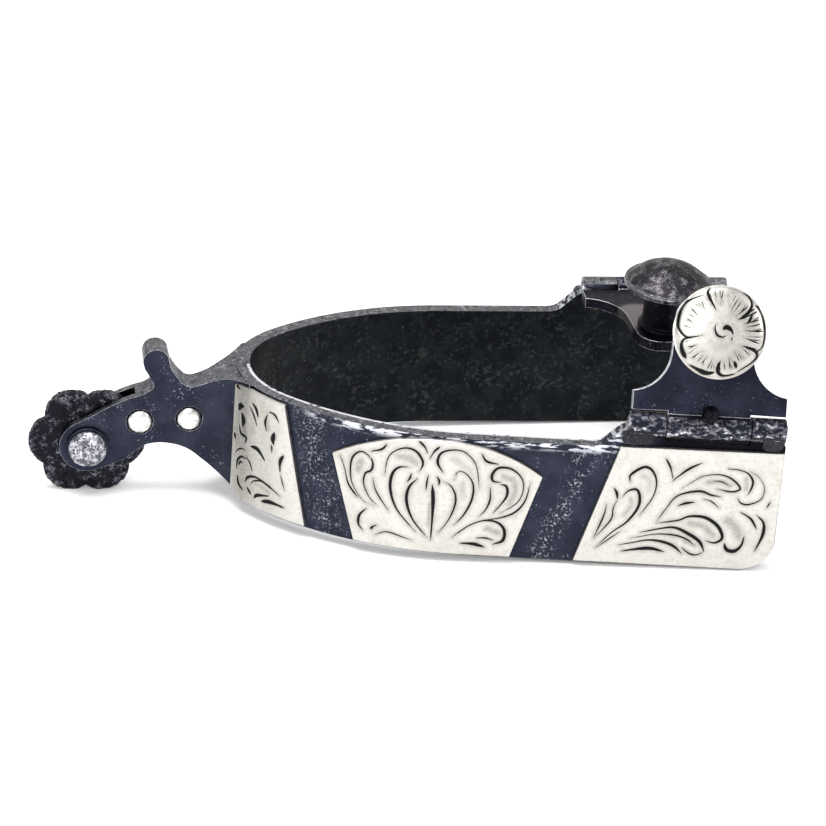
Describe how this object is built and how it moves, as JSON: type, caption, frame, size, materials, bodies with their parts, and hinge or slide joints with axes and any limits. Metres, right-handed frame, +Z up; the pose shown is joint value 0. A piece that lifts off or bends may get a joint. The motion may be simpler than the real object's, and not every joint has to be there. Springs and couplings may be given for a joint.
{
  "type": "western spur",
  "caption": "Western spur: U-shaped steel heel band with engraved silver plates, slotted shank with chap guard, spinning lobed rowel, hinged strap-button leaves.",
  "frame": {"origin": "centre of the spur's box in plan, on the floor that the spur stands on", "axes": "+X from the rowel towards the open mouth of the heel band, +Z up, -Y the outer side that carries the silver"},
  "size_m": [0.1808, 0.0904, 0.0757],
  "materials": {
    "blued_steel": "blued and worn, brighter on the edges",
    "black_steel": "blackened",
    "rough_iron": "rough, dark",
    "bright_steel": "hammered, bright",
    "dark_pewter": "mottled, worn",
    "engraved_silver": "engraved nickel silver, satin"
  },
  "bodies": {
    "heel_frame": {"heel_band": "blued_steel", "shank": "blued_steel", "heel_plate": "engraved_silver", "fan_plate": "engraved_silver", "end_plate": "engraved_silver", "near_rear_dot": "engraved_silver", "near_front_dot": "engraved_silver", "rowel_pin": "bright_steel", "near_pin_washer": "blued_steel", "far_pin_washer": "blued_steel", "near_hinge_pin": "bright_steel", "far_hinge_pin": "bright_steel"},
    "rowel_wheel": {"rowel": "rough_iron"},
    "near_button_leaf": {"near_leaf": "blued_steel", "near_leaf_rivet": "black_steel", "near_button_post": "blued_steel", "near_button_disc": "blued_steel", "near_concho": "engraved_silver"},
    "far_button_leaf": {"far_leaf": "blued_steel", "far_leaf_rivet": "black_steel", "far_button_post": "blued_steel", "far_button": "dark_pewter"}
  },
  "joints": [
    {"name": "rowel_spin", "type": "hinge", "parent": "heel_frame", "child": "rowel_wheel", "pos_m": [-0.07597, 0.00227, 0.01338], "axis": [0, 1, 0], "continuous": true},
    {"name": "near_leaf_swing", "type": "hinge", "parent": "heel_frame", "child": "near_button_leaf", "pos_m": [0.07097, -0.03639, 0.03787], "axis": [0.9978, -0.0621, -0.0245], "range_deg": [-87, 103]},
    {"name": "far_leaf_swing", "type": "hinge", "parent": "heel_frame", "child": "far_button_leaf", "pos_m": [0.07097, 0.04092, 0.03787], "axis": [-0.9978, -0.0621, 0.0245], "range_deg": [-18, 172]}
  ]
}
